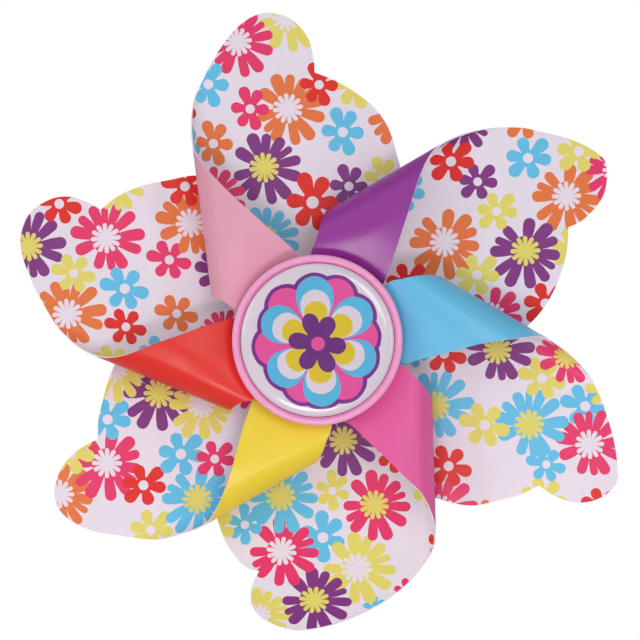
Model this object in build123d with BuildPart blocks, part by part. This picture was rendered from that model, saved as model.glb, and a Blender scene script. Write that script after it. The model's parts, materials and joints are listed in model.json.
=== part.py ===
from build123d import *
from math import asin, cos, degrees, radians, sin
import os

# A six-sail pinwheel on a sprung clip, in millimetres with +Z up.
# The wheel faces -Y and spins about the Y axis. The handlebar that the clip
# grips lies along the X axis, and the origin is where the two axes cross.
# "Forward" is a distance from the origin toward -Y.
# A clock angle is measured clockwise from the top, seen from the front.

# ---- sails: one die-cut sheet each, curled over once toward the hub ----
# each sail: name, clock place, degrees it has settled clockwise, where its
# curl's edge lies across it, and how far out its tip reaches
sails = [
    ("sail_light_pink", 0, -5.0, -33.0, 101.0),
    ("sail_purple", 1, 0.5, -33.8, 104.5),
    ("sail_blue", 2, -1.0, -35.5, 102.0),
    ("sail_magenta", 3, 3.0, -38.0, 91.0),
    ("sail_yellow", 4, 0.5, -32.9, 95.5),
    ("sail_red", 5, -4.0, -33.6, 97.0),
]
sail_spacing = 360 / len(sails)
sheet = 0.4
sail_pitch = 5.0
bend_radius = 6.0
fold_top = 65.0
fold_bottom = 21.0
neck_half_width = 5.5
neck_centre = 20.0
back_reach = 40.0
flap_reach = 5.0
sail_reach = 115.0
tip_in_pattern = 102.2

# ---- hub ----
hub_radius = 23.0
rim_radius = 26.0
hub_wall = 1.6
peg_circle = 19.0
peg_radius = 1.5
peg_gap = 0.05
peg_hole_in_sheet = 1.7
shoulder_radius = 3.0
tab_lead = 40.0
screw_circle = 19.5
screw_clocks = (30, 150, 270)
screw_shank = 0.9
screw_head = 2.2
tube_radius = 6.0

# ---- stack along the spin axis, as forward distances ----
axle_back = 16.5
boss_front = 23.0
rear_washer_thickness = 0.65
bush_flange = 0.8
end_float = 0.15
tube_back = 24.6
cover_back = 24.4
cover_front = 26.6
root_forward = 28.0
drum_back = 29.5
drum_front = 38.5
face_plate_front = 40.1
flap_forward = root_forward + 2 * bend_radius
tube_front = 41.5
rim_back = 42.6
cap_plate_back = 45.0
cap_plate_front = 46.6
rim_front = 48.2
badge_front = 49.0
sheet_play = 0.5
clip_groove_back = 43.0
clip_groove_width = 0.6
axle_front = 44.6

# ---- axle and bearings ----
axle_radius = 2.0
running_gap = 0.05
bush_radius = 4.0
bush_flange_radius = 4.5
bush_length = 6.0
washer_bore = 2.1
groove_radius = 1.6
e_clip_radius = 4.2

# ---- handlebar clip ----
bar_radius = 11.1
pad_thickness = 1.8
shell_inner = bar_radius + pad_thickness
shell_thickness = 3.0
shell_outer = shell_inner + shell_thickness
clip_width = 20.0
pivot_height = 19.5
knuckle_radius = 4.5
pin_radius = 1.5
fixed_ear = (6.3, 10.0)
moving_ear = (3.3, 6.0)
fixed_lean = 20.0
moving_lean = 40.0
lever_inner_face = 1.8
lever_thickness = 2.5
lever_plate_from = 10.0
lever_length = 23.0
spring_wire = 0.6
spring_coil = 2.4
spring_pitch = 1.3
spring_whole_turns = 3

os.makedirs("parts", exist_ok=True)


def finish(piece, label):
    """Name a finished piece and write its STEP file."""
    piece.part.label = label
    export_step(piece.part, f"parts/{label}.step")


def facing(forward):
    """Plane across the spin axis, its normal toward the front."""
    return Plane.XZ.offset(forward)


def on_clock(radius, angle):
    """Point at a clock angle on a circle about the spin axis."""
    return (radius * sin(radians(angle)), radius * cos(radians(angle)))


def disc(back, front, outer, inner=0.0, mode=Mode.ADD):
    """A disc or ring about the spin axis, between two forward distances."""
    with BuildSketch(facing(back)) as face:
        Circle(outer)
        if inner:
            Circle(inner, mode=Mode.SUBTRACT)
    extrude(face.sketch, amount=front - back, mode=mode)


def posts(back, front, radius, circle, clocks, mode=Mode.ADD):
    """Round posts or holes parallel to the spin axis."""
    with BuildSketch(facing(back)) as face:
        with Locations([on_clock(circle, angle) for angle in clocks]):
            Circle(radius)
    extrude(face.sketch, amount=front - back, mode=mode)


# ------------------------------------------------------------------ sails
def sail_plane(place, settle):
    """A sail's back layer: x across it, y outward along it, z to the front."""
    swing = Location((0, 0, 0), (0, 0, -place * sail_spacing))
    pitch = Location((0, 0, 0), (0, sail_pitch, 0))
    turn = Location((0, 0, 0), (0, 0, -settle))
    return Plane(facing(root_forward).location * swing * pitch * turn)


def fold_section(plane, fold_edge, side, reach):
    """Half of the folded sheet: side -1 is the back layer, +1 is the flap."""
    bend_start = fold_edge + bend_radius
    outer = bend_radius + sheet / 2
    inner = bend_radius - sheet / 2
    slant = sin(radians(45))

    def level(distance):
        return bend_radius + side * distance

    def middle(radius):
        return (bend_start - radius * slant, bend_radius + side * radius * slant)

    with BuildSketch(Plane(plane.origin, x_dir=plane.x_dir, z_dir=-plane.y_dir)) as section:
        with BuildLine():
            Line((reach, level(outer)), (bend_start, level(outer)))
            ThreePointArc((bend_start, level(outer)), middle(outer), (bend_start - outer, bend_radius))
            Line((bend_start - outer, bend_radius), (bend_start - inner, bend_radius))
            ThreePointArc((bend_start - inner, bend_radius), middle(inner), (bend_start, level(inner)))
            Line((bend_start, level(inner)), (reach, level(inner)))
            Line((reach, level(inner)), (reach, level(outer)))
        make_face()
    return section.sketch


def beyond_fold(fold_edge):
    """The open side of an outline, clear of the curl, from its foot to its top."""
    beyond = fold_edge - 2
    return Polyline((fold_edge, fold_bottom), (beyond, fold_bottom), (beyond, fold_top),
                    (fold_edge, fold_top))


def back_layer(plane, fold_edge, tip):
    """The heart-shaped back layer, with its neck that goes into the hub."""
    stretch = (tip - fold_top) / (tip_in_pattern - fold_top)

    def outer(across, along):
        return (across, fold_top + (along - fold_top) * stretch)

    with BuildPart() as layer:
        extrude(fold_section(plane, fold_edge, -1, back_reach), amount=-sail_reach)
        with BuildSketch(plane.offset(-1)) as outline:
            with BuildLine():
                beyond_fold(fold_edge)
                Spline((fold_edge, fold_top), outer(fold_edge + 0.8, 73), outer(0.6 * fold_edge - 7.3, 83.5),
                       outer(-18.5, 94), outer(-5.2, tip_in_pattern), outer(2.6, 97.5), outer(6.2, 90),
                       outer(6.2, 82))
                Spline(outer(6.2, 82), outer(13.5, 77), outer(21.0, 68), (26.5, 58), (27.0, 47), (21.0, 34.5),
                       (13.0, 27.5), (neck_half_width, 24))
                Line((neck_half_width, 24), (neck_half_width, neck_centre))
                ThreePointArc((neck_half_width, neck_centre), (0, neck_centre - neck_half_width),
                              (-neck_half_width, neck_centre))
                Line((-neck_half_width, neck_centre), (-neck_half_width, 24))
                Spline((-neck_half_width, 24), (-11, 23.5), (-22, 21.2), (fold_edge, fold_bottom))
            make_face()
        extrude(outline.sketch, amount=1 + bend_radius, mode=Mode.INTERSECT)
    return layer.part


def flap(plane, fold_edge):
    """The curled-over part, which narrows to a tab at the front of the hub."""
    with BuildPart() as layer:
        extrude(fold_section(plane, fold_edge, 1, flap_reach), amount=-sail_reach)
        with BuildSketch(plane.offset(bend_radius)) as outline:
            with BuildLine():
                beyond_fold(fold_edge)
                Spline((fold_edge, fold_top), (fold_edge + 1.6, 58), (0.5 * fold_edge - 8.8, 46.5),
                       (-15.5, 35), (-5.4, 25.4))
                Spline((-5.4, 25.4), (-6.4, 17.5), (-8.0, 12), (-12.5, 9.6), (-18.5, 9.4))
                Spline((-18.5, 9.4), (-24.3, 10.2), (0.4 * fold_edge - 16.3, 16.2), (fold_edge, fold_bottom))
            make_face()
        extrude(outline.sketch, amount=1 + bend_radius, mode=Mode.INTERSECT)
    return layer.part


for sail_name, place, settle, fold_edge, tip in sails:
    plane = sail_plane(place, settle)
    layers = [back_layer(plane, fold_edge, tip), flap(plane, fold_edge)]
    neck_clock = place * sail_spacing
    with BuildPart() as sail:
        for layer in layers:
            add(layer)
        for layer_forward, clock in ((root_forward, neck_clock), (flap_forward, neck_clock - tab_lead)):
            posts(layer_forward - 3, layer_forward + 5, peg_hole_in_sheet, peg_circle, [clock], Mode.SUBTRACT)
    finish(sail, sail_name)

# -------------------------------------------------------------------- hub
neck_clocks = [index * sail_spacing for index in range(len(sails))]
tab_clocks = [clock - tab_lead for clock in neck_clocks]
socket_radius = peg_radius + peg_gap

# drum: spaces the sails' necks from their tabs, and carries both bushes
with BuildPart() as hub_drum:
    disc(drum_back, drum_front, hub_radius, hub_radius - hub_wall)
    disc(drum_back, drum_back + hub_wall, hub_radius)
    disc(tube_back, tube_front, tube_radius)
    posts(root_forward + sheet_play, drum_back, shoulder_radius, peg_circle, neck_clocks)
    posts(cover_back + sheet_play, drum_back, peg_radius, peg_circle, neck_clocks)
    posts(cover_front, drum_back, screw_head, screw_circle, screw_clocks)
    posts(cover_front, drum_back + hub_wall / 2, screw_shank, screw_circle, screw_clocks, Mode.SUBTRACT)
    disc(tube_back, tube_front, bush_radius, mode=Mode.SUBTRACT)
finish(hub_drum, "hub_drum")

# rear cover: clamps the six necks against the drum
with BuildPart() as rear_cover:
    disc(cover_back, cover_front, hub_radius)
    fillet(rear_cover.faces().sort_by(Axis.Y)[-1].edges(), 0.8)
    posts(cover_front, root_forward - sheet_play, shoulder_radius, peg_circle, neck_clocks)
    posts(cover_back, root_forward, socket_radius, peg_circle, neck_clocks, Mode.SUBTRACT)
    posts(cover_back, cover_front, 1.2, screw_circle, screw_clocks, Mode.SUBTRACT)
    disc(cover_back, cover_front, tube_radius + peg_gap, mode=Mode.SUBTRACT)
finish(rear_cover, "rear_cover")

# three pan-head screws that hold the rear cover on
head_depth = 1.5
with BuildPart() as hub_screws:
    posts(cover_back - head_depth, cover_back, screw_head, screw_circle, screw_clocks)
    fillet(hub_screws.faces().group_by(Axis.Y)[-1].edges(), 0.6)
    posts(cover_back, drum_back + hub_wall / 2, screw_shank, screw_circle, screw_clocks)
    with BuildSketch(facing(cover_back - head_depth)) as cross:
        with Locations([on_clock(screw_circle, angle) for angle in screw_clocks]):
            Rectangle(2.4, 0.5)
            Rectangle(0.5, 2.4)
    extrude(cross.sketch, amount=0.8, mode=Mode.SUBTRACT)
finish(hub_screws, "hub_screws")

# face plate: closes the drum and carries the pegs for the six tabs
with BuildPart() as hub_face_plate:
    disc(drum_front, face_plate_front, hub_radius, tube_radius + peg_gap)
    posts(face_plate_front, flap_forward + sheet_play, shoulder_radius, peg_circle, tab_clocks)
    posts(face_plate_front, cap_plate_back - 1.1, peg_radius, peg_circle, tab_clocks)
finish(hub_face_plate, "hub_face_plate")

# pink cap: hides the six tabs; its posts are pushed over the pegs
bezel_inner = 23.4
with BuildPart() as hub_cap:
    disc(rim_back, rim_front, rim_radius)
    disc(rim_back, cap_plate_back, rim_radius - hub_wall, mode=Mode.SUBTRACT)
    disc(cap_plate_front, rim_front, bezel_inner, mode=Mode.SUBTRACT)
    fillet(hub_cap.faces().sort_by(Axis.Y)[0].edges(), 1.1)
    posts(tube_front + 0.2, cap_plate_back, shoulder_radius, peg_circle, tab_clocks)
    posts(tube_front, cap_plate_back - 0.8, socket_radius, peg_circle, tab_clocks, Mode.SUBTRACT)
finish(hub_cap, "hub_cap")

# domed badge inside the cap's bezel
badge_radius = bezel_inner - 0.2
badge_edge = cap_plate_front + 0.8
dome_reach = badge_radius - 2.6
dome_height = 0.45
dome_radius = (dome_reach**2 + dome_height**2) / (2 * dome_height)
with BuildPart() as badge:
    with BuildSketch(Plane.XY):
        with BuildLine():
            dome = JernArc((0, -badge_front), (1, 0), dome_radius, degrees(asin(dome_reach / dome_radius)))
            ThreePointArc(dome @ 1, (badge_radius - 0.9, -badge_front + 0.9), (badge_radius, -badge_edge))
            Polyline((badge_radius, -badge_edge), (badge_radius, -cap_plate_front),
                     (0, -cap_plate_front), (0, -badge_front))
        make_face()
    revolve(axis=Axis.Y)
finish(badge, "badge")

# flanged bushes pressed into the two ends of the drum's tube
bush_bore = axle_radius + running_gap
with BuildPart() as bush_rear:
    disc(tube_back - bush_flange, tube_back, bush_flange_radius)
    disc(tube_back, tube_back + bush_length, bush_radius)
    disc(tube_back - bush_flange, tube_back + bush_length, bush_bore, mode=Mode.SUBTRACT)
finish(bush_rear, "bush_rear")

with BuildPart() as bush_front:
    disc(tube_front, tube_front + bush_flange, bush_flange_radius)
    disc(tube_front - bush_length, tube_front, bush_radius)
    disc(tube_front - bush_length, tube_front + bush_flange, bush_bore, mode=Mode.SUBTRACT)
finish(bush_front, "bush_front")

# ------------------------------------------------------- axle and its rings
with BuildPart() as axle:
    disc(axle_back, axle_front, axle_radius)
    chamfer(axle.faces().sort_by(Axis.Y)[0].edges(), 0.4)
    disc(clip_groove_back, clip_groove_back + clip_groove_width, axle_radius, groove_radius, Mode.SUBTRACT)
finish(axle, "axle")

with BuildPart() as rear_washer:
    disc(boss_front, boss_front + rear_washer_thickness, bush_flange_radius, washer_bore)
finish(rear_washer, "rear_washer")

front_washer_back = tube_front + bush_flange + end_float
with BuildPart() as front_washer:
    disc(front_washer_back, clip_groove_back - 0.05, bush_flange_radius, washer_bore)
finish(front_washer, "front_washer")

with BuildPart() as e_clip:
    disc(clip_groove_back, clip_groove_back + clip_groove_width, e_clip_radius, groove_radius)
    with BuildSketch(facing(clip_groove_back)):
        with Locations((0, -e_clip_radius)):
            Rectangle(2 * groove_radius - 0.4, 2 * e_clip_radius)
    extrude(amount=clip_groove_width, mode=Mode.SUBTRACT)
finish(e_clip, "e_clip")

# ------------------------------------------------------------ handlebar clip
# Side views are drawn on the YZ plane: Y to the right, Z up, angles from +Y.
pivot = (0.0, pivot_height)
fixed_shell = (115, 240)
moving_shell = (-55, 65)
fixed_pad_arc = (120, 240)
moving_pad_arc = (-50, 50)
FIXED, MOVING = -1, 1


def bar_point(radius, angle):
    """Point of the side view, about the handlebar's axis."""
    return (radius * cos(radians(angle)), radius * sin(radians(angle)))


def sector(inner, outer, span):
    """Ring sector about the handlebar's axis, for the sketch being drawn."""
    start, end = span
    with BuildSketch() as ring:
        with BuildLine():
            CenterArc((0, 0), outer, start, end - start)
            Line(bar_point(outer, end), bar_point(inner, end))
            CenterArc((0, 0), inner, start, end - start)
            Line(bar_point(inner, start), bar_point(outer, start))
        make_face()
    return ring.sketch


def lever_point(side, lean, along, across):
    """Point of a lever: along it from the pivot, across toward the other lever."""
    slope = radians(lean)
    return (side * (along * sin(slope) - across * cos(slope)),
            pivot_height + along * cos(slope) + across * sin(slope))


def lever(side, lean, start):
    """Side view of a lever from a distance along it to its tip."""
    outer_face = lever_inner_face - lever_thickness
    with BuildSketch() as strip:
        with BuildLine():
            Polyline(*[lever_point(side, lean, along, across) for along, across in (
                (start, outer_face), (lever_length, outer_face), (lever_length, lever_inner_face),
                (start, lever_inner_face))], close=True)
        make_face()
    return strip.sketch


def ear(side, lean, shell_end):
    """Side view of an ear: knuckle, web to the jaw's shell, and lever."""
    with BuildSketch() as web:
        with BuildLine():
            Line(bar_point(shell_inner, shell_end), bar_point(shell_outer, shell_end))
            CenterArc(pivot, knuckle_radius, 0, 360)
        make_hull()
        add(lever(side, lean, 0))
    return web.sketch


def across_clip(face, start, end, mode=Mode.ADD):
    """Extrude a side view across the clip, between two places along X."""
    extrude(Plane.YZ.offset(start) * face, amount=end - start, mode=mode)


def jaw(side, lean, shell, shell_end, ears, bore):
    """Shell, ears and lever of one jaw, added to the part being built."""
    half = clip_width / 2
    near, far = ears
    across_clip(sector(shell_inner, shell_outer, shell), -half, half)
    across_clip(lever(side, lean, lever_plate_from), -half, half)
    for start, end in ((-far, -near), (near, far)):
        across_clip(ear(side, lean, shell_end), start, end)
    with BuildSketch() as hole:
        with Locations(pivot):
            Circle(bore)
    across_clip(hole.sketch, -half, half, Mode.SUBTRACT)
    grip_ribs(side, lean)


def grip_ribs(side, lean):
    """Three finger ribs across the outer face of a lever."""
    outer_face = lever_inner_face - lever_thickness
    with BuildSketch() as ribs:
        for along in (14, 17, 20):
            with Locations(lever_point(side, lean, along, outer_face)):
                Circle(0.7)
    across_clip(ribs.sketch, -clip_width / 2 + 1.5, clip_width / 2 - 1.5)


# bracket: fixed jaw, with the neck and boss that hold the axle
neck_size = 16.0
neck_front = 17.5
boss_radius = 5.5
cone_front = 20.0
with BuildPart() as bracket:
    jaw(FIXED, fixed_lean, fixed_shell, fixed_shell[0], fixed_ear, pin_radius)
    with BuildSketch(facing(shell_inner + 0.3)):
        RectangleRounded(neck_size, neck_size, 2.5)
    extrude(amount=neck_front - shell_inner - 0.3)
    with BuildSketch(facing(neck_front)):
        Circle(neck_size / 2)
    with BuildSketch(facing(cone_front)):
        Circle(boss_radius)
    loft()
    disc(cone_front, boss_front, boss_radius)
    disc(axle_back, boss_front, axle_radius, mode=Mode.SUBTRACT)
finish(bracket, "bracket")

with BuildPart() as moving_jaw:
    jaw(MOVING, moving_lean, moving_shell, moving_shell[1], moving_ear, pin_radius + running_gap)
finish(moving_jaw, "moving_jaw")

# rubber pads bonded inside the two jaws
with BuildPart() as fixed_pad:
    across_clip(sector(bar_radius, shell_inner, fixed_pad_arc), -clip_width / 2, clip_width / 2)
finish(fixed_pad, "fixed_pad")

with BuildPart() as moving_pad:
    across_clip(sector(bar_radius, shell_inner, moving_pad_arc), -clip_width / 2, clip_width / 2)
finish(moving_pad, "moving_pad")

# pivot pin, riveted over at both ends
pin_head = 0.8
with BuildPart() as pivot_pin:
    with BuildSketch(Plane.YZ.offset(-clip_width / 2)):
        with Locations(pivot):
            Circle(pin_radius)
    extrude(amount=clip_width)
    for start in (-clip_width / 2 - pin_head, clip_width / 2):
        with BuildSketch(Plane.YZ.offset(start)):
            with Locations(pivot):
                Circle(2.4)
        extrude(amount=pin_head)
finish(pivot_pin, "pivot_pin")

# torsion spring round the pin, its two legs along the levers' inner faces
spring_turns = spring_whole_turns + (180 + fixed_lean + moving_lean) / 360
spring_width = spring_turns * spring_pitch
leg_length = 14.0
coil_plane = Plane(
    origin=(spring_width / 2, 0, pivot_height),
    x_dir=(0, cos(radians(fixed_lean)), sin(radians(fixed_lean))),
    z_dir=(-1, 0, 0),
)
coil = coil_plane * Helix(spring_pitch, spring_width, spring_coil, mode=Mode.PRIVATE)
with BuildPart() as jaw_spring:
    with BuildSketch(Plane(origin=coil @ 0, z_dir=coil % 0)):
        Circle(spring_wire)
    sweep(path=coil)
    for end, outward in ((0, -1), (1, 1)):
        with BuildSketch(Plane(origin=coil @ end, z_dir=(coil % end) * outward)):
            Circle(spring_wire)
        extrude(amount=leg_length)
finish(jaw_spring, "jaw_spring")
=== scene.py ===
import json
from math import asin, ceil, cos, hypot, pi, radians, sin

import bpy
import numpy as np
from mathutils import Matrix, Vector
from mathutils.geometry import delaunay_2d_cdt


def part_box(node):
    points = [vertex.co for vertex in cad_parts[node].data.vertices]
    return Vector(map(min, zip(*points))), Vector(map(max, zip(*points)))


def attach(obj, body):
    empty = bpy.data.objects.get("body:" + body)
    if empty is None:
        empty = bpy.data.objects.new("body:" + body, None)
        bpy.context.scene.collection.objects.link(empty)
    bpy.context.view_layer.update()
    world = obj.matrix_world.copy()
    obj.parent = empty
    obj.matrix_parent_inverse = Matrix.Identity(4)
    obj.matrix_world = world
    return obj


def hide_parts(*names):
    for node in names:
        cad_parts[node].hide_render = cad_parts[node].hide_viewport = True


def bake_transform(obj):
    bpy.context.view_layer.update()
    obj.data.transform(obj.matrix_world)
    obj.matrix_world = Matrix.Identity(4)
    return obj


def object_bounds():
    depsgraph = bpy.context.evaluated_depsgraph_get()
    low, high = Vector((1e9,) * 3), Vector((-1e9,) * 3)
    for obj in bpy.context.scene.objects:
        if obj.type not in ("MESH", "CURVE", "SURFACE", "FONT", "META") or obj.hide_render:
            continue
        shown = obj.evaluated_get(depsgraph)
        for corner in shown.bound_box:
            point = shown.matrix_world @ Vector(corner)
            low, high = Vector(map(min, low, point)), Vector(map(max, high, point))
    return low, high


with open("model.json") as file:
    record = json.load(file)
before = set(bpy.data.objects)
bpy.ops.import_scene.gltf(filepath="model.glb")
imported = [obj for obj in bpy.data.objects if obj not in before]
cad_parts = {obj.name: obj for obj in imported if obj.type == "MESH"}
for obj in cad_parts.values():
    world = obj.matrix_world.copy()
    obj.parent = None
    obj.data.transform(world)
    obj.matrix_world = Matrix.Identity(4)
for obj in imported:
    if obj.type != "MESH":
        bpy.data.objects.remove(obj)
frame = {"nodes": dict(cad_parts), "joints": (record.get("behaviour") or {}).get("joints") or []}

# A six-sail pinwheel on a handlebar clip. The numbers below are millimetres
# unless a line says otherwise; Blender's own units are metres.
#
# A sail is described as it is seen from the front, turned so that its place
# is at the top: X to the right, Y outward from the spin axis. "Forward" is a
# distance toward the front, along -Y of the frame.
MM = 0.001
cad_low, cad_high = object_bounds()


def add_object(name, data):
    thing = bpy.data.objects.new(name, data)
    bpy.context.scene.collection.objects.link(thing)
    return thing


# ---------------------------------------------------------------- materials


def linear(colour):
    """A colour given as 0-255 display values, as linear RGBA."""
    channels = [c / 255 for c in colour]
    return [c / 12.92 if c <= 0.04045 else ((c + 0.055) / 1.055) ** 2.4 for c in channels] + [1.0]


def scaled(colour, share):
    return [min(1.0, c * share) for c in colour[:3]] + [1.0]


class Surface:
    """A node material on object coordinates, built up in layers. Noise scales are per metre."""

    def __init__(self, name, roughness, **sockets):
        self.material = bpy.data.materials.new(name)
        self.material.use_nodes = True
        self.nodes = self.material.node_tree.nodes
        self.links = self.material.node_tree.links
        self.shader = self.nodes["Principled BSDF"]
        self.place = self.nodes.new("ShaderNodeTexCoord").outputs["Object"]
        self.shader.inputs["Roughness"].default_value = roughness
        self.normal = None
        for socket, value in sockets.items():
            self.shader.inputs[socket.replace("_", " ")].default_value = value

    def noise(self, scale, detail=2.0, stretch=None):
        source = self.place
        if stretch:
            mapping = self.nodes.new("ShaderNodeMapping")
            mapping.inputs["Scale"].default_value = stretch
            self.links.new(source, mapping.inputs["Vector"])
            source = mapping.outputs["Vector"]
        texture = self.nodes.new("ShaderNodeTexNoise")
        texture.inputs["Scale"].default_value = scale
        texture.inputs["Detail"].default_value = detail
        self.links.new(source, texture.inputs["Vector"])
        return texture.outputs["Fac"]

    def between(self, factor, low, high):
        """A value that runs from low to high as a noise runs over its middle range."""
        spread = self.nodes.new("ShaderNodeMapRange")
        spread.inputs["From Min"].default_value = 0.3
        spread.inputs["From Max"].default_value = 0.7
        spread.inputs["To Min"].default_value = low
        spread.inputs["To Max"].default_value = high
        self.links.new(factor, spread.inputs["Value"])
        return spread.outputs["Result"]

    def mix(self, factor, first, second):
        blend = self.nodes.new("ShaderNodeMix")
        blend.data_type = "RGBA"
        for socket, value in ((0, factor), (6, first), (7, second)):
            if isinstance(value, (list, float)):
                blend.inputs[socket].default_value = value
            else:
                self.links.new(value, blend.inputs[socket])
        return blend.outputs[2]

    def colour(self, colour, broad=(40, 0.05), fine=(1800, 0.04)):
        """The base colour, with broad tone changes and a fine mottle."""
        tones = [self.mix(self.between(self.noise(scale), 0.0, 1.0), scaled(colour, 1 - amount),
                          scaled(colour, 1 + amount)) for scale, amount in (broad, fine)]
        self.links.new(self.mix(0.5, *tones), self.shader.inputs["Base Color"])
        return self

    def rings(self, inner, bands, blur=0.15):
        """Colour by distance from the spin axis, in millimetres: each band's colour starts at its radius."""
        flat = self.nodes.new("ShaderNodeVectorMath")
        flat.operation = "MULTIPLY"
        flat.inputs[1].default_value = (1, 0, 1)
        self.links.new(self.place, flat.inputs[0])
        length = self.nodes.new("ShaderNodeVectorMath")
        length.operation = "LENGTH"
        self.links.new(flat.outputs["Vector"], length.inputs[0])
        colour = inner
        for radius, outer in bands:
            step = self.nodes.new("ShaderNodeMapRange")
            step.inputs["From Min"].default_value = (radius - blur) * MM
            step.inputs["From Max"].default_value = (radius + blur) * MM
            self.links.new(length.outputs["Value"], step.inputs["Value"])
            colour = self.mix(step.outputs["Result"], colour, outer)
        white = [1.0] * 4
        mottle = self.mix(self.between(self.noise(2400), 0.0, 1.0), scaled(white, 0.96), white)
        both = self.nodes.new("ShaderNodeMix")
        both.data_type = "RGBA"
        both.blend_type = "MULTIPLY"
        both.inputs[0].default_value = 1.0
        self.links.new(colour, both.inputs[6])
        self.links.new(mottle, both.inputs[7])
        self.links.new(both.outputs[2], self.shader.inputs["Base Color"])
        return self

    def gloss(self, scale, low, high, stretch=None):
        roughness = self.between(self.noise(scale, 3.0, stretch), low, high)
        self.links.new(roughness, self.shader.inputs["Roughness"])
        return self

    def relief(self, scale, height, strength=0.5, stretch=None, detail=2.0):
        """Bump of a given height in millimetres, added over any bump below it."""
        bump = self.nodes.new("ShaderNodeBump")
        bump.inputs["Strength"].default_value = strength
        bump.inputs["Distance"].default_value = height * MM
        self.links.new(self.noise(scale, detail, stretch), bump.inputs["Height"])
        if self.normal:
            self.links.new(self.normal, bump.inputs["Normal"])
        self.normal = bump.outputs["Normal"]
        self.links.new(self.normal, self.shader.inputs["Normal"])
        return self

    def soft_edges(self, radius):
        """Worn, slightly rounded edges on a moulded or machined piece."""
        edge = self.nodes.new("ShaderNodeBevel")
        edge.samples = 4
        edge.inputs["Radius"].default_value = radius * MM
        self.normal = edge.outputs["Normal"]
        self.links.new(self.normal, self.shader.inputs["Normal"])
        return self


def print_ink(name, colour):
    """Ink on satin plastic sheet."""
    return (Surface(name, 0.4, Specular_IOR_Level=0.42)
            .colour(linear(colour), broad=(35, 0.03), fine=(2200, 0.05))
            .gloss(120, 0.36, 0.46)
            .relief(45, 0.12, 0.25)
            .relief(1500, 0.006, 0.3)
            .material)


def sheet_back(name, colour, shine):
    """The plain coloured side of the sheet: glossier, with a faint pull in its surface."""
    return (Surface(name, 0.3, Specular_IOR_Level=shine)
            .colour(linear(colour), broad=(30, 0.04), fine=(1600, 0.03))
            .gloss(90, 0.32, 0.4)
            .relief(38, 0.15, 0.25)
            .relief(900, 0.006, 0.3)
            .material)


def badge_ink(name, colour):
    """Ink under the badge's clear gloss coat."""
    return (Surface(name, 0.22, Specular_IOR_Level=0.5, Coat_Weight=0.9, Coat_Roughness=0.05)
            .colour(linear(colour), broad=(60, 0.02), fine=(2600, 0.05))
            .gloss(200, 0.18, 0.28)
            .relief(500, 0.008, 0.2)
            .material)


def plastic(name, colour, roughness, grain, edge=0.2):
    return (Surface(name, roughness, Specular_IOR_Level=0.5)
            .colour(linear(colour), broad=(70, 0.03), fine=(2400, 0.03))
            .gloss(300, roughness - 0.05, roughness + 0.06)
            .soft_edges(edge)
            .relief(1600, grain, 0.4)
            .material)


def metal(name, colour, roughness, stretch):
    """Drawn or turned steel, with fine lines along the stretch."""
    return (Surface(name, roughness, Metallic=1.0)
            .colour(linear(colour), broad=(120, 0.06), fine=(3000, 0.05))
            .gloss(700, roughness - 0.08, roughness + 0.1, stretch)
            .soft_edges(0.12)
            .relief(900, 0.01, 0.35, stretch)
            .material)


INKS = {
    "ground": (235, 225, 237),
    "crimson": (233, 45, 105),
    "orange": (233, 118, 56),
    "purple": (129, 45, 130),
    "red": (227, 30, 20),
    "blue": (97, 194, 234),
    "yellow": (230, 217, 104),
}
BACKS = {
    "light_pink": (228, 160, 182),
    "purple": (143, 8, 146),
    "blue": (100, 190, 230),
    "magenta": (228, 90, 158),
    "yellow": (238, 211, 50),
    "red": (226, 34, 12),
}
inks = {name: print_ink("ink_" + name, colour) for name, colour in INKS.items()}
BACK_SHINE = {"purple": 0.8}     # the dark sheet mirrors the lights more strongly than the others
backs = {name: sheet_back("back_" + name, colour, BACK_SHINE.get(name, 0.5))
         for name, colour in BACKS.items()}

# ------------------------------------------------------------ flat drawing


def smooth(points, step=1.2):
    """A smooth open curve through points (centripetal Catmull-Rom), its last point left off."""
    p = np.array(points, float)
    p = np.vstack([2 * p[0] - p[1], p, 2 * p[-1] - p[-2]])
    curve = []
    for a, b, c, d in zip(p, p[1:], p[2:], p[3:]):
        t = np.cumsum([0.0] + [max(1e-6, hypot(*(q - o))) ** 0.5 for o, q in ((a, b), (b, c), (c, d))])
        count = max(1, ceil(hypot(*(c - b)) / step))
        for u in np.linspace(t[1], t[2], count, endpoint=False):
            ab = (a * (t[1] - u) + b * (u - t[0])) / (t[1] - t[0])
            bc = (b * (t[2] - u) + c * (u - t[1])) / (t[2] - t[1])
            cd = (c * (t[3] - u) + d * (u - t[2])) / (t[3] - t[2])
            abc = (ab * (t[2] - u) + bc * (u - t[0])) / (t[2] - t[0])
            bcd = (bc * (t[3] - u) + cd * (u - t[1])) / (t[3] - t[1])
            curve.append((abc * (t[2] - u) + bcd * (u - t[1])) / (t[2] - t[1]))
    return curve


def circle(x, y, radius, count=24):
    angles = [2 * pi * i / count for i in range(count)]
    return [(x + radius * cos(a), y + radius * sin(a)) for a in angles]


def turned(points, x, y, degrees):
    """Points drawn along +x, turned and moved to a place."""
    c, s = cos(radians(degrees)), sin(radians(degrees))
    return [(x + px * c - py * s, y + px * s + py * c) for px, py in points]


def club(length, width, start=2.5, tip_points=7):
    """A printed petal along +x: narrow at its root, which is at start, with a round tip."""
    side = [(start, 0.2 * width), (0.42 * length, 0.37 * width), (0.62 * length, 0.47 * width)]
    half = 0.5 * width
    tip = [(length - half + half * sin(a), half * cos(a)) for a in np.linspace(0, pi, tip_points)]
    return side + tip + [(x, -y) for x, y in reversed(side)]


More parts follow.
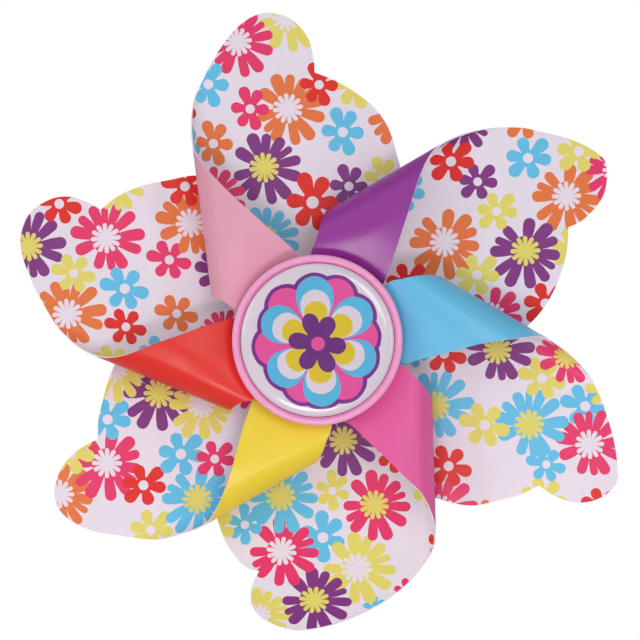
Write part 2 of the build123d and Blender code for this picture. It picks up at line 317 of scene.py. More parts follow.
def teardrop(length, width, start):
    """A broad petal: pointed at its root, widest past its middle."""
    profile = ((0, 0.14), (0.12, 0.38), (0.25, 0.62), (0.45, 0.9),
               (0.62, 1.0), (0.78, 0.94), (0.9, 0.7), (0.97, 0.38))
    side = [(start + share * (length - start), half * width / 2) for share, half in profile]
    return smooth(side + [(length, 0)] + [(x, -y) for x, y in reversed(side)], 0.6)


# petals of the two printed flowers, each as direction in degrees, length and
# width, for a flower of the radius given below them
DAISY = ((112, 11.3, 4.0), (86, 10.5, 3.0), (58, 10.8, 3.4), (36, 10.5, 2.2),
         (13, 11.6, 3.2), (-15, 11.8, 3.6), (-50, 12.3, 3.8), (-76, 11.6, 3.2),
         (-113, 11.0, 3.6), (-135, 10.0, 2.5), (-162, 9.8, 3.2), (148, 10.3, 3.8))
DAISY_RADIUS, DAISY_DISC = 11.0, 4.6
# the daisy's centre: a ring of even petals, the first one at this many degrees
ROSETTE_PETALS, ROSETTE_START = 12, 8
ROSETTE_LENGTH, ROSETTE_WIDTH, ROSETTE_DISC = 4.7, 1.4, 2.2
SMALL = ((110, 7.6, 3.8), (62, 6.8, 3.6), (-3, 6.2, 3.8),
         (-70, 7.2, 3.8), (-122, 6.4, 3.6), (175, 6.3, 3.6))
SMALL_RADIUS, SMALL_DISC, SMALL_EYE = 6.6, 2.6, 1.5


def flower_prints(kind, ink, centre, x, y, radius, tilt):
    """The coloured shapes of one printed flower, bottom to top."""
    shapes = []
    if kind == "daisy":
        size = radius / DAISY_RADIUS
        for direction, length, width in DAISY:
            shapes.append((turned(club(length * size, width * size), x, y, direction + tilt), ink))
        shapes.append((circle(x, y, DAISY_DISC * size), ink))
        petal = club(ROSETTE_LENGTH * size, ROSETTE_WIDTH * size, start=1.0, tip_points=5)
        for index in range(ROSETTE_PETALS):
            direction = 360 / ROSETTE_PETALS * index + ROSETTE_START
            shapes.append((turned(petal, x, y, direction + tilt), centre))
        shapes.append((circle(x, y, ROSETTE_DISC * size, 16), centre))
    else:
        size = radius / SMALL_RADIUS
        for direction, length, width in SMALL:
            shapes.append((turned(club(length * size, width * size, start=1.2), x, y, direction + tilt), ink))
        shapes.append((circle(x, y, SMALL_DISC * size), ink))
        shapes.append((circle(x, y, SMALL_EYE * size, 16), centre))
    return shapes


# -------------------------------------------------------- printed sheets
NUDGE = 0.02             # half the step over which a surface's slope is measured


def anticlockwise(polygon):
    x, y = np.array(polygon, float).T
    return polygon if np.dot(x, np.roll(y, -1)) > np.dot(y, np.roll(x, -1)) else polygon[::-1]


def printed_sheet(name, outline, prints, holes, extra, front, back, ground, reverse):
    """A thin closed solid whose front carries prints as faces of their own material.

    Everything is drawn in the flat pattern. Front and back are functions that
    carry pattern places to the frame, extra holds more pattern places for the
    mesh to follow, and a later print lies over an earlier one.
    """
    polygons = [anticlockwise(shape) for shape in [outline] + holes + [shape for shape, _ in prints]]
    first_print = 1 + len(holes)
    points, faces = [], []
    for polygon in polygons:
        faces.append(list(range(len(points), len(points) + len(polygon))))
        points += [Vector((float(x), float(y))) for x, y in polygon]
    points += [Vector((float(x), float(y))) for x, y in extra]
    inside_only, tolerance = 1, 1e-4
    flat, _, triangles, _, _, origins = delaunay_2d_cdt(points, [], faces, inside_only, tolerance)

    flat = np.array([tuple(p) for p in flat])
    kept, paint = [], []
    slots = [ground, reverse]
    for corners, origin in zip(triangles, origins):
        if 0 not in origin or any(0 < o < first_print for o in origin):
            continue
        a, b, c = (flat[i] for i in corners[:3])
        if (b[0] - a[0]) * (c[1] - a[1]) - (b[1] - a[1]) * (c[0] - a[0]) < 0:
            corners = corners[::-1]
        kept.append(list(corners))
        top = max(origin)
        material = prints[top - first_print][1] if top >= first_print else ground
        if material not in slots:
            slots.append(material)
        paint.append(slots.index(material))

    used = sorted({i for face in kept for i in face})
    renumber = {old: new for new, old in enumerate(used)}
    kept = [[renumber[i] for i in face] for face in kept]
    x, y = flat[used, 0], flat[used, 1]
    count = len(used)
    front_points, back_points = front(x, y), back(x, y)
    normals = np.cross(front(x + NUDGE, y) - front(x - NUDGE, y), front(x, y + NUDGE) - front(x, y - NUDGE))
    normals /= np.linalg.norm(normals, axis=1)[:, None]

    edges = set()
    for face in kept:
        edges.update(zip(face, face[1:] + face[:1]))
    border = [(a, b) for a, b in edges if (b, a) not in edges]
    all_faces = kept + [[i + count for i in reversed(face)] for face in kept]
    all_faces += [[b, a, a + count, b + count] for a, b in border]
    mesh = bpy.data.meshes.new(name)
    mesh.from_pydata(np.vstack([front_points, back_points]) * MM, [], all_faces)
    mesh.polygons.foreach_set("material_index", paint + [1] * len(kept) + [0] * len(border))
    mesh.polygons.foreach_set("use_smooth", [True] * len(all_faces))
    for material in slots:
        mesh.materials.append(material)
    outward = {}
    for a, b in border:
        along = front_points[b] - front_points[a]
        side = np.cross(along, normals[a])
        side /= np.linalg.norm(side) + 1e-12
        for i in (a, b):
            outward[i] = outward.get(i, 0) + side
    corner_normals = [normals[i] for face in kept for i in face]
    corner_normals += [-normals[i] for face in kept for i in reversed(face)]
    for a, b in border:
        for i in (b, a, a, b):
            corner_normals.append(outward[i] / (np.linalg.norm(outward[i]) + 1e-12))
    mesh.normals_split_custom_set([tuple(n) for n in corner_normals])
    mesh.update()
    return add_object(name, mesh)


def facing_points(x, y, forward):
    """Front-view positions at forward distances, in the frame."""
    return np.stack([x, -forward + 0 * x, y], axis=-1)


# ------------------------------------------------------------------ sails
ROOT_FORWARD = 28.0      # where the sails' necks are clamped
BEND = 6.0               # radius of each sail's curl
PITCH = radians(5)
SHEET = 0.4
PEG_CIRCLE = 19.0
PEG_HOLE = 1.7
TAB_LEAD = -40           # a sail's tab is fixed this far round from its neck
RIM = 26.0               # radius of the hub's ring
BULGE = 3.3              # how far a flap rises over the top of its curl
BULGE_ACROSS = 16        # the bulge grows over this width past the curl
BULGE_OUTWARD = 25       # and over this length outside the ring
# a flap's tab, a sail's neck, and the edges on both sides of the neck, in the
# sail's own plane; NECK_SIDE leads from the neck toward the curl, and
# HIDDEN_EDGE, which lies behind the next sail, leads in to the neck
TAB = [(-4.8, 24.2), (-6, 17.5), (-8, 12), (-12.5, 9.6), (-18.5, 9.4)]
NECK_HALF, NECK_TOP, NECK_CENTRE = 5.5, 24, 20
NECK = [(NECK_HALF, NECK_CENTRE)]
NECK += [(NECK_HALF * cos(a), NECK_CENTRE - NECK_HALF * sin(a)) for a in np.linspace(0.2, pi - 0.2, 12)]
NECK += [(-NECK_HALF, NECK_CENTRE)]
NECK_SIDE = [(-NECK_HALF, NECK_TOP), (-11, 23)]
HIDDEN_EDGE = [(27.0, 47), (21.0, 34.5), (13.0, 27.5), (NECK_HALF, NECK_TOP)]


def ease(t):
    return t * t * (3 - 2 * t)


class Sail:
    """One sail: where it sits, and the way from its flat pattern to its curled shape.

    The curl's axis lies in the sail's plane, a little off the Y direction.
    "Square" places are measured across (x) and along (y) that axis.
    """

    def __init__(self, place, settle, fold, lean):
        self.place, self.settle = place, radians(settle)
        self.fold, self.skew = fold[0], radians(fold[1])
        self.bend = self.fold + BEND
        self.lean_from, self.lean_radius = lean

    def square(self, x, y):
        c, s = cos(self.skew), sin(self.skew)
        return x * c + y * s, -x * s + y * c

    def unsquare(self, x, y):
        c, s = cos(self.skew), sin(self.skew)
        return x * c - y * s, x * s + y * c

    def own(self, x, y, height=0.0):
        """A front-view point of the sail, in the sail's own untilted plane."""
        x = (x - height * sin(PITCH)) / cos(PITCH)
        c, s = cos(self.settle), sin(self.settle)
        return x * c - y * s, x * s + y * c

    def flat_back(self, x, y):
        """Pattern place of a front-view point of the layer behind."""
        height = 0.0
        for _ in range(3):
            own_x, own_y = self.own(x, y, height)
            out = own_y
            if own_y > self.lean_from:
                turn = asin(min(0.95, (own_y - self.lean_from) / self.lean_radius))
                out = self.lean_from + self.lean_radius * turn
                height = self.lean_radius * (1 - cos(turn))
        across, along = self.square(own_x, out)
        if across < self.bend:
            across = self.bend - BEND * asin(min(1.0, (self.bend - across) / BEND))
        return self.unsquare(across, along)

    def flat_flap(self, x, y):
        """Pattern place of a front-view point of the curled-over flap."""
        return self.unrolled(*self.own(x, y, 2 * BEND))

    def unrolled(self, x, y):
        """Pattern place of a point of the flap given in the sail's own plane."""
        across, along = self.square(x, y)
        if across >= self.bend:
            across = 2 * self.bend - pi * BEND - across
        else:
            across = self.bend - BEND * (pi - asin(min(1.0, (self.bend - across) / BEND)))
        return self.unsquare(across, along)

    def curled(self, x, y):
        """Middle of the curled sheet at a pattern place, in the frame."""
        s, along = self.square(x, y)
        turn = np.clip((self.bend - s) / BEND, 0, pi)
        past = np.maximum(self.bend - pi * BEND - s, 0)
        across = np.maximum(s, self.bend) - BEND * np.sin(turn) + past
        height = BEND * (1 - np.cos(turn))
        over = np.clip((self.bend - 0.5 * pi * BEND - s) / BULGE_ACROSS, 0, 1)
        clear = np.clip((np.hypot(across, along) - RIM + 1) / BULGE_OUTWARD, 0, 1)
        height = height + BULGE * ease(over) * clear * (2 - clear)
        x, out = self.unsquare(across, along)
        lean = np.maximum(out - self.lean_from, 0) / self.lean_radius
        out = np.minimum(out, self.lean_from) + self.lean_radius * np.sin(lean)
        height = height + self.lean_radius * (1 - np.cos(lean))
        c, s = cos(self.settle), sin(self.settle)
        x, out = x * c + out * s, -x * s + out * c
        x, height = x * cos(PITCH) + height * sin(PITCH), -x * sin(PITCH) + height * cos(PITCH)
        c, s = cos(radians(60 * self.place)), sin(radians(60 * self.place))
        return facing_points(x * c + out * s, -x * s + out * c, ROOT_FORWARD + height)

    def layer(self, side):
        """The sheet's surface on its printed (+1) or plain (-1) side."""
        def surface(s, y):
            across = self.curled(s + NUDGE, y) - self.curled(s - NUDGE, y)
            along = self.curled(s, y + NUDGE) - self.curled(s, y - NUDGE)
            normal = np.cross(across, along)
            normal /= np.linalg.norm(normal, axis=-1)[:, None]
            return self.curled(s, y) + side * normal * SHEET / 2
        return surface

    def off_curl(self, points, height, margin=1.2):
        """The points that are far enough from the curl's edge to say where the outline runs."""
        return [(x, y) for x, y in points if self.square(*self.own(x, y, height))[0] > self.fold + margin]

    def pattern(self, left, right, flap_edge, flap_foot, top, foot):
        """Closed flat outline, anticlockwise from the flap's tab, from the entries of SAILS."""
        edge = self.bend - 0.5 * pi * BEND
        tab = [self.unrolled(x, y) for x, y in TAB]
        upper = tab[:1] + [self.flat_flap(x, y) for x, y in reversed(self.off_curl(flap_edge, 2 * BEND))]
        upper += [self.unsquare(edge, top)] + [self.flat_back(x, y) for x, y in self.off_curl(left, 0)]
        shoulder = [upper[-1]] + [self.flat_back(x, y) for x, y in right] + HIDDEN_EDGE
        lower = NECK_SIDE + [(-22, foot + 1.5)]
        lower += [self.unsquare(edge + 3, foot + 0.2), self.unsquare(edge, foot)]
        lower += [self.flat_flap(x, y) for x, y in self.off_curl(flap_foot, 2 * BEND)] + tab[::-1]
        return smooth(upper) + smooth(shoulder) + [HIDDEN_EDGE[-1]] + NECK + smooth(lower)


# Every sail:
#   place       its place on the clock, in sixths of a turn
#   print_turn  degrees its print is turned on the sheet
#   settle      degrees it has slipped clockwise from its place
#   fold        where its curl's edge lies, and the degrees that axis is turned
#   lean        how far out it starts to lean forward, and that bend's radius
#   top, foot   how far out its outline crosses the curl's edge, at the
#               curl's outer and inner end
#   left, right, flap_edge, flap_foot
#               its edges as seen from the front, all listed outward to inward
#               but left, which runs from the curl to the notch
#   flowers     kind, ink, centre ink, place as seen from the front and radius,
#               bottom to top
D, S = "daisy", "small"
SAILS = {
    "light_pink": dict(
        place=0, print_turn=0, settle=-5.0, fold=(-30.9, 2.3), lean=(40, 600), top=65, foot=17.6,
        left=[(-38.9, 66), (-38, 73), (-36, 78), (-32, 86), (-28, 92), (-24, 96.5), (-19, 99.7), (-14, 100.4),
              (-8, 98.5), (-3, 93), (-1.5, 88), (-1, 85), (-0.9, 82.3)],
        right=[(5, 80), (12, 76), (18, 71), (22, 65), (24.5, 57), (25.5, 52)],
        flap_edge=[(-38, 59.5), (-35.5, 54.5), (-31, 49), (-25, 43), (-20, 38.5), (-15, 34),
                   (-10, 30), (-6.5, 26.4)],
        flap_foot=[(-31.2, 14), (-29, 12.2), (-25, 9.3)],
        flowers=[
            (D, "yellow", "ground", -9.6, 99.3, 10.5), (S, "red", "ground", -40.5, 70, 6),
            (S, "blue", "ground", -41, 59, 6), (D, "crimson", "ground", -24.5, 91.5, 10.5),
            (S, "blue", "ground", -33.5, 78.5, 6.8), (S, "orange", "ground", -32, 60.3, 6.5),
            (D, "orange", "ground", -9.1, 71.2, 11), (S, "crimson", "ground", -20.7, 71, 6.3),
            (D, "purple", "yellow", -16.4, 53, 11), (S, "yellow", "ground", 11.5, 78.5, 7),
            (S, "red", "ground", 0.5, 78.5, 6.3), (S, "blue", "ground", 7.8, 64, 7),
            (D, "orange", "ground", 24.5, 70, 10.5), (S, "purple", "ground", 9.7, 47.3, 6.3),
            (S, "red", "ground", -1.5, 42.3, 8.5), (S, "yellow", "ground", 20, 50, 6),
            (D, "crimson", "ground", -32.5, 43.8, 10), (D, "blue", "yellow", -16, 31.2, 10)]),
    "purple": dict(
        place=1, print_turn=-6, settle=0.5, fold=(-33.2, 0.8), lean=(40, 600), top=63, foot=22.4,
        left=[(-32.9, 66), (-32, 72), (-29, 80), (-25, 87), (-20, 92.5), (-14, 98.5), (-8, 102.5), (-3, 104),
              (5, 99), (8, 93), (9, 88), (8.6, 84.3)],
        right=[(15, 80), (20, 75), (25, 68), (28, 61), (29, 55)],
        flap_edge=[(-33, 60), (-31.6, 57), (-29.6, 54.6), (-25.7, 49.4), (-20.7, 43.9), (-15.7, 38.4),
                   (-10.7, 32.9), (-5.1, 26.4)],
        flap_foot=[(-31.6, 20.4), (-29.5, 18), (-27, 15.3), (-23.5, 11.2)],
        flowers=[
            (D, "orange", "ground", 0, 88.5, 10.7), (D, "crimson", "ground", 0.5, 105.5, 9.5),
            (S, "yellow", "ground", -10, 98.5, 7), (S, "blue", "ground", -16, 84, 7),
            (S, "orange", "ground", -26.5, 88.5, 6), (D, "purple", "yellow", -33.5, 72, 10),
            (S, "purple", "ground", -17.5, 67, 6), (S, "red", "ground", -27, 63, 7),
            (S, "yellow", "ground", 14.5, 82, 6.5), (D, "purple", "yellow", 8.3, 69.2, 11),
            (S, "yellow", "ground", -6.7, 67.5, 6.3), (S, "red", "ground", 25.5, 66.5, 7),
            (D, "orange", "ground", -6.5, 49, 11), (S, "yellow", "ground", 7.3, 52.5, 6.8),
            (D, "crimson", "ground", 20.5, 50.5, 9.5), (S, "red", "ground", -1.5, 32.5, 6.5),
            (S, "blue", "ground", -26, 45.5, 6.5)]),
    "blue": dict(
        place=2, print_turn=175, settle=-1.0, fold=(-36.2, -1.0), lean=(40, 600), top=61.5, foot=23,
        left=[(-35.5, 63), (-35, 70), (-32.5, 77), (-29, 83), (-24, 89), (-18, 95), (-12, 99.5), (-8, 101.5),
              (-2, 100), (3, 95), (5, 88), (4.8, 81.4)],
        right=[(10, 78), (15, 73), (20, 67.5), (22.5, 62), (24, 56)],
        flap_edge=[(-35.2, 58.5), (-32, 54), (-28, 48.5), (-24, 43.5), (-20, 39.5), (-15, 34.5),
                   (-10.5, 30), (-6.5, 26.5)],
        flap_foot=[(-35.2, 21), (-34, 18.5), (-30, 14), (-26, 10)],
        flowers=[
            (S, "blue", "ground", -23.5, 81.5, 7), (S, "yellow", "ground", -30, 84, 5),
            (S, "red", "ground", 0.5, 101.5, 6), (S, "yellow", "ground", 7, 85, 6.5),
            (D, "crimson", "ground", -14, 88.5, 10.7), (S, "blue", "ground", -2, 80.2, 5.7),
            (D, "blue", "yellow", -10, 69.5, 11), (S, "yellow", "ground", -24.3, 65.8, 6.8),
            (D, "crimson", "yellow", -33.8, 68.8, 9.5), (D, "purple", "yellow", -25, 49.5, 10.5),
            (D, "blue", "yellow", -0.5, 41.5, 11), (S, "yellow", "ground", -3, 57.8, 7.2),
            (D, "crimson", "ground", 26.5, 58.7, 11), (S, "red", "ground", 13.5, 54.5, 6.8),
            (S, "orange", "ground", 20, 73.3, 5), (S, "red", "ground", -15.8, 36, 6.5),
            (S, "blue", "ground", -11, 27, 5)]),
    "magenta": dict(
        place=3, print_turn=164, settle=3.0, fold=(-35.0, 4.8), lean=(38, 76), top=60, foot=19.5,
        left=[(-36.3, 60), (-35.5, 64), (-33, 68), (-28, 74), (-20, 80), (-12, 84), (-5, 86.5), (1, 87.8),
              (6, 88.2), (12, 87), (17, 84.5), (20, 81), (20.4, 77), (19, 73), (17.8, 71)],
        right=[(22, 69.5), (27, 64), (30, 58), (31, 53)],
        flap_edge=[(-36.4, 56), (-35, 51), (-31.6, 46.5), (-26.6, 41.4), (-20.6, 35.4), (-15.6, 30.9),
                   (-9, 25.2)],
        flap_foot=[(-35, 18.5), (-33.5, 15.5), (-30, 11.5), (-25.5, 7.6)],
        flowers=[
            (S, "blue", "ground", -17.5, 82, 4), (S, "crimson", "ground", -27, 77, 4),
            (S, "red", "ground", -38, 62.5, 6), (S, "blue", "ground", -1.7, 60.8, 7.5),
            (D, "yellow", "ground", 18, 84, 9.5), (D, "yellow", "ground", -12, 70, 11.5),
            (D, "purple", "yellow", 1.0, 79.6, 11), (D, "crimson", "ground", 11, 65, 11),
            (D, "crimson", "yellow", -17.5, 50.8, 10.7), (D, "blue", "yellow", 11.3, 48.3, 11),
            (S, "blue", "ground", 22.3, 57, 5.9), (S, "yellow", "ground", 31, 58, 6),
            (S, "yellow", "ground", -4.7, 46.5, 5.7), (D, "purple", "yellow", -8, 31, 10.5),
            (S, "red", "ground", -23.5, 34.5, 6), (S, "yellow", "ground", -34, 45, 6)]),
    "yellow": dict(
        place=4, print_turn=172, settle=0.5, fold=(-32.9, 0.0), lean=(45, 160), top=58, foot=18.7,
        left=[(-31.5, 60), (-31, 65), (-29, 72), (-26, 77), (-22, 82), (-17, 88), (-12, 92), (-8, 94),
              (-5, 94.4), (0, 93), (5, 88), (7.3, 82), (7.5, 76), (7.3, 73.7)],
        right=[(12, 71), (17, 66.5), (21, 62.5), (24.5, 58), (26.5, 53)],
        flap_edge=[(-31.4, 57), (-30, 54), (-26.5, 48.5), (-22, 43), (-17, 38), (-12, 33), (-6, 26.4)],
        flap_foot=[(-31.1, 17), (-28.6, 13.7), (-24.4, 9)],
        flowers=[
            (D, "orange", "ground", -1.5, 92, 10.5), (D, "crimson", "ground", -0.5, 75, 11),
            (S, "red", "ground", -12, 68.7, 6.8), (S, "yellow", "ground", -25, 73.5, 6.8),
            (D, "blue", "yellow", -24, 56.5, 11), (S, "blue", "ground", -9.5, 54, 7.2),
            (S, "crimson", "ground", -16, 45.7, 6), (D, "purple", "yellow", 10.2, 50.6, 11),
            (S, "blue", "ground", 11, 68.2, 7), (D, "yellow", "ground", 23.5, 58.5, 10),
            (S, "yellow", "ground", 7.5, 83, 7), (D, "yellow", "ground", 0.5, 41, 10),
            (S, "crimson", "ground", -5.5, 26.5, 4)]),
    "red": dict(
        place=5, print_turn=-3, settle=-4.0, fold=(-30.5, 4.1), lean=(45, 180), top=62, foot=17.2,
        left=[(-38.4, 60), (-38, 66), (-36, 72), (-32, 79), (-28, 85), (-23, 91), (-18, 94.5), (-12, 95.8),
              (-8, 95), (-3, 92), (0, 88), (1.2, 83), (1.4, 77.7)],
        right=[(8, 75), (14, 70.5), (20, 64), (25, 58), (27, 52)],
        flap_edge=[(-38.2, 56.5), (-36.2, 52.3), (-32.4, 47.6), (-27.4, 43.5), (-20.4, 37.5), (-14.4, 32.5),
                   (-7.4, 25.8)],
        flap_foot=[(-30.8, 13.6), (-28.6, 11.1), (-25, 7.5)],
        flowers=[
            (D, "purple", "yellow", -19.5, 91, 10.7), (S, "red", "ground", -3.5, 89.5, 6.7),
            (D, "crimson", "ground", -5.5, 72, 11), (D, "orange", "ground", -31.5, 70.5, 11),
            (S, "yellow", "ground", -19.7, 75, 6.3), (S, "blue", "ground", -16, 59.2, 7),
            (S, "crimson", "ground", -1.5, 51.8, 6.4), (D, "orange", "ground", 11.5, 52, 10.7),
            (S, "red", "ground", 20.5, 59, 6.7), (S, "red", "ground", -26, 53, 6),
            (S, "orange", "ground", -14.7, 41.5, 6.2), (D, "yellow", "ground", 10.5, 78.5, 9.5),
            (D, "purple", "yellow", 4, 35, 9.5), (D, "crimson", "ground", -13, 26, 7.5),
            (S, "blue", "ground", -28, 39, 6.5), (S, "yellow", "ground", -37, 51, 6)]),
}
# flowers on the inner face of every flap, given in the flat pattern
FLAP_FLOWERS = [(D, "orange", "ground", -52, 34, 10.5), (S, "blue", "ground", -47, 48, 6.5),
                (D, "crimson", "ground", -66, 24, 9.5), (S, "yellow", "ground", -60, 38, 6.5),
                (S, "red", "ground", -50, 20, 6), (S, "purple", "ground", -41.5, 30, 6)]


def sail_grid(sail):
    """Pattern places that carry the sheet's curvature: wide apart behind, close together round the curl.

    They reach past every edge of the largest sheet.
    """
    curl_end = sail.bend - pi * BEND
    flap_side, back_side, inner_end, outer_end = -75, 40, 5, 120
    columns = list(np.arange(sail.bend, back_side, 4.0)) + list(np.arange(curl_end, sail.bend, 0.75))
    columns += list(np.arange(flap_side, curl_end, 1.6))
    return [sail.unsquare(s, y) for s in columns
            for y in np.arange(inner_end, outer_end, 3.0 if s > sail.bend else 2.2)]


tab_angle = radians(TAB_LEAD)
for colour, facts in SAILS.items():
    sail = Sail(facts["place"], facts["settle"], facts["fold"], facts["lean"])
    edges = [facts[key] for key in ("left", "right", "flap_edge", "flap_foot")]
    outline = sail.pattern(*edges, facts["top"], facts["foot"])
    tilt = facts["settle"] + facts["print_turn"]
    prints = []
    for kind, ink, centre, x, y, radius in FLAP_FLOWERS:
        prints += flower_prints(kind, inks[ink], inks[centre], x, y, radius, tilt)
    for kind, ink, centre, x, y, radius in facts["flowers"]:
        place_x, place_y = sail.flat_back(x, y)
        prints += flower_prints(kind, inks[ink], inks[centre], place_x, place_y, radius, tilt)
    tab_x, tab_y = sail.flat_flap(PEG_CIRCLE * sin(tab_angle), PEG_CIRCLE * cos(tab_angle))
    neck_x, neck_y = sail.flat_back(0, PEG_CIRCLE)
    holes = [circle(neck_x, neck_y, PEG_HOLE), circle(tab_x, tab_y, PEG_HOLE)]
    piece = printed_sheet("printed_sail_" + colour, outline, prints, holes, sail_grid(sail), sail.layer(1),
                          sail.layer(-1), inks["ground"], backs[colour])
    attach(piece, "rotor")
    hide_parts("sail_" + colour)

# ------------------------------------------------------------------ badge
BADGE_RADIUS = 23.36
BADGE_BACK = 46.62
SHOULDER = 20.0          # where the dome ends and the rolled edge starts
SHOULDER_DROP = 1.55
SHOULDER_SHARE = 0.93    # how nearly upright the rolled edge ends; 1 would be upright
DOME = 470.0             # radius of the dome
DOME_STEP, SHOULDER_STEP = 1.5, 0.22     # spacing of the mesh's rings
AROUND = 72
badge_top = -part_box("badge")[0].y / MM
badge_inks = {name: badge_ink("badge_" + name, colour) for name, colour in {
    "white": (217, 206, 219), "violet": (114, 16, 133), "plum": (98, 12, 117), "pink": (224, 71, 151),
    "blue": (77, 176, 219), "yellow": (217, 188, 15)}.items()}


def badge_front(x, y):
    """Dome with a rolled shoulder."""
    r = np.hypot(x, y)
    past = np.clip((r - SHOULDER) / (BADGE_RADIUS - SHOULDER), 0, 1)
    dome_drop = np.minimum(r, SHOULDER) ** 2 / (2 * DOME)
    edge_drop = (1 - np.sqrt(1 - SHOULDER_SHARE * past ** 2)) * SHOULDER_DROP
    return facing_points(x, y, badge_top - (dome_drop + edge_drop))


def badge_back(x, y):
    return facing_points(x, y, BADGE_BACK)


FLOWER = (0.2, -1.1)     # the layered flower's centre, a little off the badge's
OUTLINE = 1.1            # how far the outline shows past the outer petals' tips
badge_prints = []
# petals by clock angle and reach
front_petals = ((-4, 20.6), (52, 19.7), (110, 18.5), (175, 19.2), (232, 18.0), (297, 18.8))
rear_petals = ((21, 20.9), (80, 18.4), (145, 19.6), (199, 18.6), (266, 19.2), (320, 20.5))
heart_petals = ((-20, 9.7), (27, 9.0), (96, 8.6), (155, 9.4), (212, 8.8), (278, 9.1))
# layers from the bottom: petals, share of their reach, extra reach, width, root and ink
for petals, share, more, width, root, ink in (
        (rear_petals, 1.0, OUTLINE, 13.6, 3.0, "violet"), (front_petals, 1.0, OUTLINE, 13.6, 3.0, "violet"),
        (rear_petals, 1.0, 0, 11.4, 3.0, "pink"), (front_petals, 1.0, 0, 11.4, 3.0, "blue"),
        (front_petals, 0.8, 0, 9.1, 3.0, "white"), (front_petals, 0.63, 0, 7.1, 3.0, "yellow"),
        (heart_petals, 1.0, 0, 5.1, 0.5, "plum")):
    for clock, reach in petals:
        shape = teardrop(share * reach + more, width, root)
        badge_prints.append((turned(shape, *FLOWER, 90 - clock), badge_inks[ink]))
badge_prints.append((circle(*FLOWER, 4.2, 32), badge_inks["plum"]))
badge_prints.append((circle(*FLOWER, 2.1, 32), badge_inks["pink"]))
rings = list(np.arange(DOME_STEP, SHOULDER, DOME_STEP))
rings += list(np.arange(SHOULDER, BADGE_RADIUS - SHOULDER_STEP / 2, SHOULDER_STEP))
badge_grid = [point for radius in rings for point in circle(0, 0, radius, AROUND)]
badge_piece = printed_sheet("printed_badge", circle(0, 0, BADGE_RADIUS, 2 * AROUND), badge_prints, [],
                            badge_grid, badge_front, badge_back, badge_inks["white"], badge_inks["white"])
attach(badge_piece, "rotor")
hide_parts("badge")

# ------------------------------------------------------------ jaw spring
# wound about the pivot pin: one leg stays with the bracket, the other turns
# with the moving jaw, and the coil winds between them
jaw = next(j for j in frame["joints"] if j["name"] == "jaw_swing")
pivot_height = jaw["pos_m"][2] / MM
WIRE, COIL, COIL_PITCH = 0.6, 2.4, 1.3           # radii of the wire and of the coil, and its rise per turn
FIXED_LEAN, MOVING_LEAN, LEG = 20, 40, 14.0      # the legs' degrees from upright, and their length
LEG_START = 0.6          # how far along a leg its first point lies
COIL_POINTS, LEG_POINTS = 90, 10
turns = 3 + (180 + FIXED_LEAN + MOVING_LEAN) / 360
half_coil = turns * COIL_PITCH / 2
path = []
for along in np.linspace(0, 1, COIL_POINTS):
    angle = 2 * pi * turns * along - radians(FIXED_LEAN)
    path.append(Vector((half_coil * (1 - 2 * along), COIL * cos(angle), pivot_height - COIL * sin(angle))))
rise = COIL_PITCH / (2 * pi * COIL)
for end, lean, side in ((0, FIXED_LEAN, -1), (-1, MOVING_LEAN, 1)):
    leg = Vector((-side * rise, side * sin(radians(lean)), cos(radians(lean)))).normalized()
    points = [path[end] + leg * d for d in np.linspace(LEG_START, LEG, LEG_POINTS)]
    path = points[::-1] + path if end == 0 else path + points


def tube(name, centre_line, radius, around=14, end_share=0.75):
    """A closed round wire along points, thinner at its ends, its frame carried along without twist."""
    rings, up = [], Vector((1, 0, 0))
    for i, point in enumerate(centre_line):
        ahead = (centre_line[min(i + 1, len(centre_line) - 1)] - centre_line[max(i - 1, 0)]).normalized()
        up = (up - ahead * up.dot(ahead)).normalized()
        across = ahead.cross(up)
        taper = end_share if i in (0, len(centre_line) - 1) else 1.0
        rings.append([(point + (up * cos(a) + across * sin(a)) * radius * taper) * MM
                      for a in np.linspace(0, 2 * pi, around, endpoint=False)])
    vertices = [v for ring in rings for v in ring]
    faces = [[r * around + k, r * around + (k + 1) % around, (r + 1) * around + (k + 1) % around,
              (r + 1) * around + k] for r in range(len(rings) - 1) for k in range(around)]
    faces += [list(range(around))[::-1], [len(vertices) - around + k for k in range(around)]]
    mesh = bpy.data.meshes.new(name)
    mesh.from_pydata(vertices, [], faces)
    mesh.polygons.foreach_set("use_smooth", [True] * len(faces))
    mesh.set_sharp_from_angle(angle=radians(50))
    return add_object(name, mesh)


spring = tube("torsion_spring", path, WIRE)
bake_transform(spring)
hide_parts("jaw_spring")

# --------------------------------------------------- finish of the CAD pieces
steel = metal("drawn_steel", (198, 198, 202), 0.25, (1, 0.05, 1))
spring_steel = metal("spring_steel", (168, 168, 172), 0.28, (1, 1, 1))
zinc = metal("zinc_plate", (206, 208, 214), 0.3, (1, 1, 1))
white_plastic = plastic("moulded_white", (240, 240, 242), 0.38, 0.01)
clip_plastic = plastic("clip_white", (233, 233, 237), 0.45, 0.03, 0.35)
nylon = plastic("nylon", (228, 222, 206), 0.42, 0.008, 0.1)
rubber = plastic("pad_rubber", (54, 54, 58), 0.7, 0.04, 0.2)
# The ring is one pink moulding, coloured in bands by radius. Painted shade darkens its inner slope and the
# edge against the badge, and a painted highlight lightens its outer bead.
rim_pink_painted_shading = (Surface("rim_pink_painted_shading", 0.25, Specular_IOR_Level=0.5, Coat_Weight=0.25, Coat_Roughness=0.12,
                    Subsurface_Weight=0.15, Subsurface_Scale=0.0015)
            .rings(linear((204, 96, 148)),
                   ((23.62, linear((232, 134, 186))), (24.35, linear((241, 166, 210)))))
            .gloss(260, 0.2, 0.3)
            .relief(700, 0.006, 0.3)
            .material)
FINISHES = {
    "hub_cap": rim_pink_painted_shading, "hub_screws": zinc,
    "hub_drum": white_plastic, "hub_face_plate": white_plastic, "rear_cover": white_plastic,
    "bush_front": nylon, "bush_rear": nylon, "front_washer": nylon, "rear_washer": nylon,
    "bracket": clip_plastic, "moving_jaw": clip_plastic, "fixed_pad": rubber, "moving_pad": rubber,
    "axle": steel, "pivot_pin": steel, "e_clip": spring_steel,
}
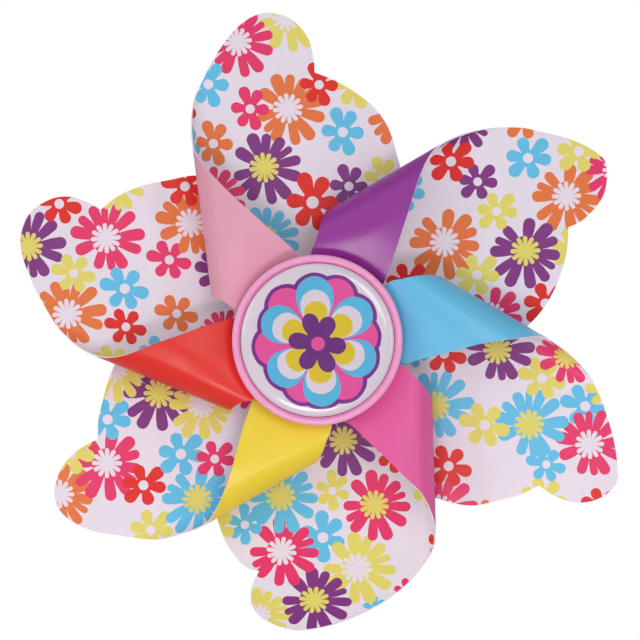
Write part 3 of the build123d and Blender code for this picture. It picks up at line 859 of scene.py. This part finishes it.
for node, material in FINISHES.items():
    frame["nodes"][node].data.materials.clear()
    frame["nodes"][node].data.materials.append(material)
spring.data.materials.append(spring_steel)

# ------------------------------------------------------------------ studio
SAIL_PLANE = -0.030      # metres, as everything in the studio


def softbox(name, azimuth, elevation, distance, width, tall, watts, tint=(1.0, 1.0, 1.0)):
    """A rectangular light aimed at the wheel; azimuth 0 is straight in front, positive to the right."""
    light = bpy.data.lights.new(name, "AREA")
    light.shape = "RECTANGLE"
    light.size, light.size_y = width, tall
    light.energy = watts
    light.color = tint
    lamp = add_object(name, light)
    a, e = radians(azimuth), radians(elevation)
    away = Vector((sin(a) * cos(e), -cos(a) * cos(e), sin(e)))
    lamp.location = Vector((0, SAIL_PLANE, 0)) + away * distance
    lamp.rotation_mode = "QUATERNION"
    lamp.rotation_quaternion = away.to_track_quat("Z", "Y")
    lamp.visible_camera = False


softbox("key", -40, 32, 0.9, 1.0, 0.9, 1.35)
softbox("right_fill", 17, 13, 1.0, 0.3, 0.3, 1.1)
softbox("low_front", -4, -24, 0.33, 0.11, 0.05, 0.25, (1.0, 0.9, 0.92))     # close in, above the floor
softbox("left_strip", -52, 12, 1.2, 0.06, 0.6, 1.3)
softbox("right_strip", 50, 4, 1.2, 0.06, 0.8, 1.2, (0.86, 0.92, 1.0))
softbox("back_fill", 150, 35, 1.4, 0.8, 0.8, 2.5)

world = bpy.data.worlds.new("studio")
bpy.context.scene.world = world
world.use_nodes = True
sky = world.node_tree
SKY_LIGHT, SKY_SEEN = 0.43, 1.0
seen = sky.nodes.new("ShaderNodeLightPath")
strength = sky.nodes.new("ShaderNodeMix")
strength.inputs[2].default_value = SKY_LIGHT
strength.inputs[3].default_value = SKY_SEEN
sky.links.new(seen.outputs["Is Camera Ray"], strength.inputs[0])
background = sky.nodes["Background"]
background.inputs["Color"].default_value = (1, 1, 1, 1)
sky.links.new(strength.outputs[0], background.inputs["Strength"])

FLOOR_HALF = 0.45
FLOOR_GAP = 0.06         # keeps the floor below the front picture
floor_z = cad_low.z - FLOOR_GAP
floor_mesh = bpy.data.meshes.new("floor")
corners = [(-1, -1), (1, -1), (1, 1), (-1, 1)]
floor_mesh.from_pydata([(x * FLOOR_HALF, y * FLOOR_HALF, floor_z) for x, y in corners], [], [(0, 1, 2, 3)])
floor_mesh.materials.append(Surface("floor", 0.8).colour(linear((240, 240, 240)), broad=(6, 0.01)).material)
floor = add_object("floor", floor_mesh)

VIEW_DISTANCE = 1.5
VIEW_MARGIN = 1.029      # height of the picture over the height of the part
AIM = (0.8, 6.1)         # millimetres to the picture's middle, right of and above the spin axis
camera_data = bpy.data.cameras.new("camera")
camera_data.lens = camera_data.sensor_width * VIEW_DISTANCE / ((cad_high.z - cad_low.z) * VIEW_MARGIN)
camera = add_object("camera", camera_data)
camera.location = (AIM[0] * MM, SAIL_PLANE - VIEW_DISTANCE, AIM[1] * MM)
camera.rotation_euler = (pi / 2, 0, 0)
bpy.context.scene.camera = camera
bpy.context.scene.view_settings.view_transform = "Standard"
